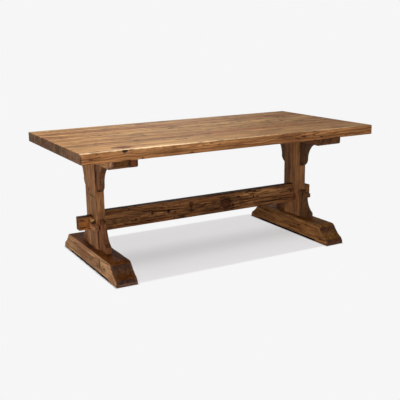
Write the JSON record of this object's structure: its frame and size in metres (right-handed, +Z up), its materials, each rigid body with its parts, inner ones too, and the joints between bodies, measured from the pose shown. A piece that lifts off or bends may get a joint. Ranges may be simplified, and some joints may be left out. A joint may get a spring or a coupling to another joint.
{
  "type": "trestle dining table",
  "caption": "Rustic plank-topped dining table on braced post trestles with ogee feet, joined by a stretcher whose through tenons are held by folding wedges.",
  "frame": {"origin": "on the floor under the centre of the top, the bottom centre of the bounding box", "axes": "+X along the table, +Y from front to back, +Z up"},
  "size_m": [1.92, 0.965, 0.76],
  "materials": {
    "top": "waxed and distressed pine, golden to reddish brown",
    "frame": "waxed and distressed pine, mid to dark brown",
    "wedge": "bare pale pine",
    "hidden_wood": "unfinished beech",
    "screw": "zinc-plated coach screws"
  },
  "bodies": {
    "root": {"top_board_1": "top", "top_board_2": "top", "top_board_3": "top", "top_board_4": "top", "top_board_5": "top", "top_board_6": "top", "top_board_7": "top", "top_tongues": "hidden_wood", "bearer_outer_left": "frame", "bearer_inner_left": "frame", "post_left": "frame", "foot_left": "frame", "upper_brace_left_front": "frame", "lower_brace_left_front": "frame", "upper_brace_left_back": "frame", "lower_brace_left_back": "frame", "wedge_lower_left": "wedge", "wedge_upper_left": "wedge", "bearer_screws_left": "screw", "brace_tongues_left": "hidden_wood", "bearer_outer_right": "frame", "bearer_inner_right": "frame", "post_right": "frame", "foot_right": "frame", "upper_brace_right_front": "frame", "lower_brace_right_front": "frame", "upper_brace_right_back": "frame", "lower_brace_right_back": "frame", "wedge_lower_right": "wedge", "wedge_upper_right": "wedge", "bearer_screws_right": "screw", "brace_tongues_right": "hidden_wood", "stretcher": "frame"}
  },
  "joints": []
}
